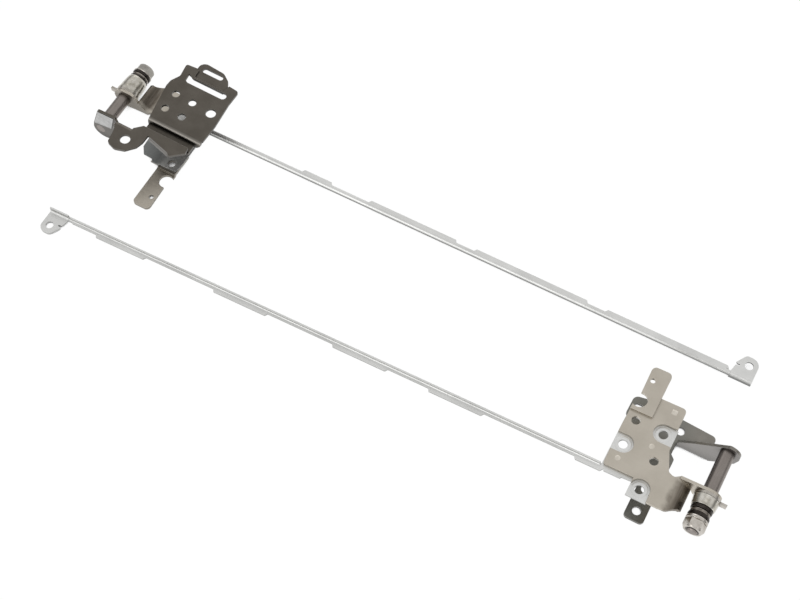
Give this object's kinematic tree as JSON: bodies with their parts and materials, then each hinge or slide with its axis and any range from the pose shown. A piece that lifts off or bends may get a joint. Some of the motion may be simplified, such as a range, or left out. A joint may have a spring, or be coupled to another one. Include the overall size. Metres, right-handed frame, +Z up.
{
  "type": "laptop hinge pair",
  "caption": "Pair of laptop lid hinges: each a friction shaft with nut joining a base bracket to a lid bracket with a long thin support rail.",
  "frame": {"origin": "centre of the bounding box at table level", "axes": "+X along both support rails, +Y across them, +Z up from the table"},
  "size_m": [0.2594, 0.0808, 0.0166],
  "materials": {
    "plated_lid_steel": "satin warm nickel plating",
    "silver_rail_steel": "satin zinc plating",
    "dark_base_steel": "satin black nickel plating",
    "shaft_steel": "ground steel, oiled",
    "sleeve_steel": "ground steel with a film of grease",
    "spring_steel": "blackened spring steel",
    "nut_steel": "bright zinc plating"
  },
  "bodies": {
    "stand": {"left_lid_bracket": "plated_lid_steel", "left_rail": "silver_rail_steel", "right_base_bracket": "dark_base_steel", "right_shaft": "shaft_steel", "right_stop_washer": "shaft_steel", "right_sleeve": "sleeve_steel", "right_spring_ring_1": "spring_steel", "right_spring_ring_2": "spring_steel", "right_spring_ring_3": "spring_steel", "right_flat_washer": "nut_steel", "right_nut": "nut_steel"},
    "left_base_leaf": {"left_base_bracket": "dark_base_steel", "left_shaft": "shaft_steel", "left_stop_washer": "shaft_steel", "left_sleeve": "sleeve_steel", "left_spring_ring_1": "spring_steel", "left_spring_ring_2": "spring_steel", "left_spring_ring_3": "spring_steel", "left_flat_washer": "nut_steel", "left_nut": "nut_steel"},
    "right_lid_leaf": {"right_lid_bracket": "plated_lid_steel", "right_rail": "silver_rail_steel"}
  },
  "joints": [
    {"name": "left_hinge", "type": "hinge", "parent": "stand", "child": "left_base_leaf", "pos_m": [-0.12328, 0.01191, 0.0049], "axis": [0, -1, 0], "range_deg": [0, 138]},
    {"name": "right_hinge", "type": "hinge", "parent": "stand", "child": "right_lid_leaf", "pos_m": [0.12332, -0.02109, 0.0123], "axis": [0, 1, 0], "range_deg": [0, 138]}
  ]
}
